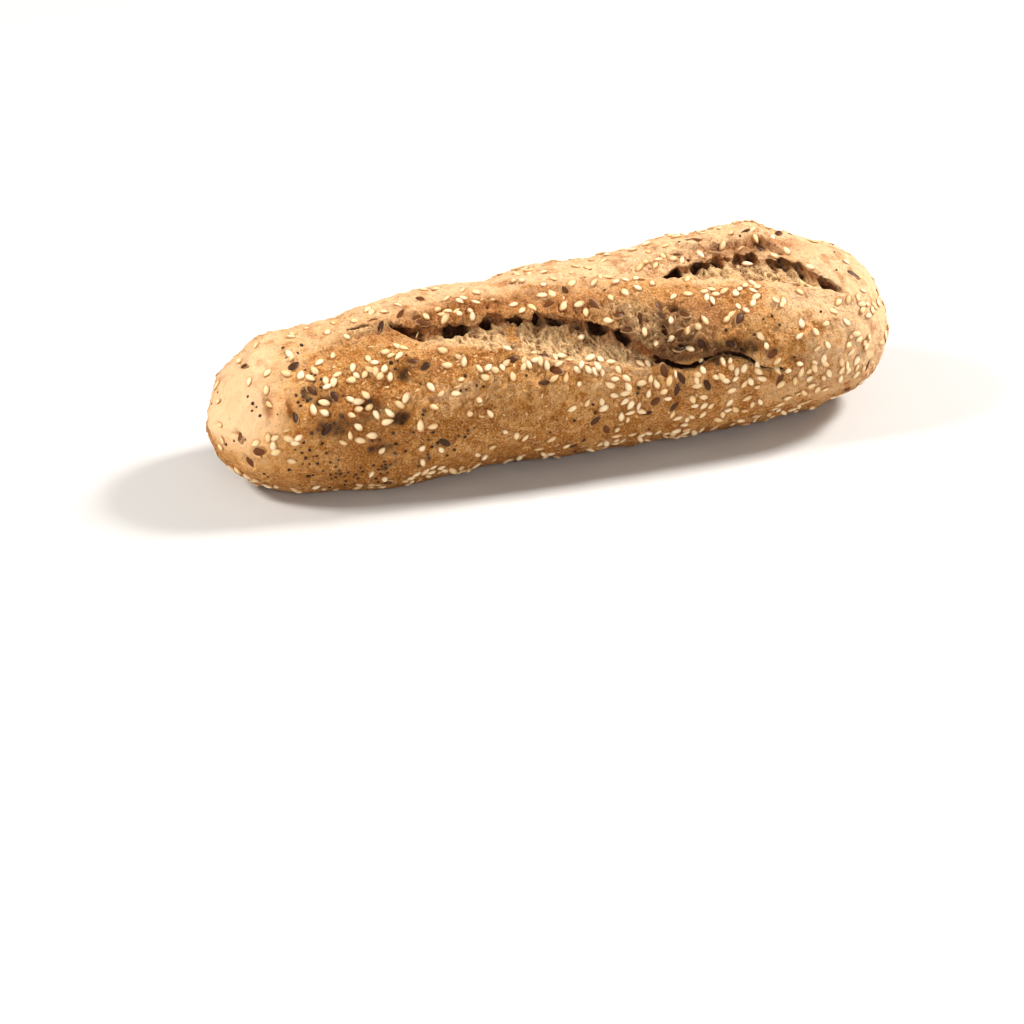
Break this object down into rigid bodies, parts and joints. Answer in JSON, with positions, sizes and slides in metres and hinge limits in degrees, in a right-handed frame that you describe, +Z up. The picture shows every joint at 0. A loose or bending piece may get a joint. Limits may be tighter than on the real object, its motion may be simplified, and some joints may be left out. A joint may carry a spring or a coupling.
{
  "type": "seeded rye baguette",
  "caption": "Short rounded rye baguette, slashed on the diagonal so that the crumb tears open, with flax, sesame and poppy seeds over its crust.",
  "frame": {"origin": "middle of the flat base, under the middle of the loaf", "axes": "+X along the loaf towards its thicker end, +Y to the back, +Z up; the front slash faces -Y and up"},
  "size_m": [0.1954, 0.0592, 0.0506],
  "materials": {
    "crust": "dry baked rye crust, floury and matt, with torn olive-brown crumb in the slashes",
    "sesame": "hulled sesame seed, ivory, slightly glossy",
    "flax": "dark brown flax seed, glossy, with a paler edge",
    "poppy": "blue-black poppy seed, matt"
  },
  "bodies": {
    "root": {"loaf": "crust"}
  },
  "joints": []
}
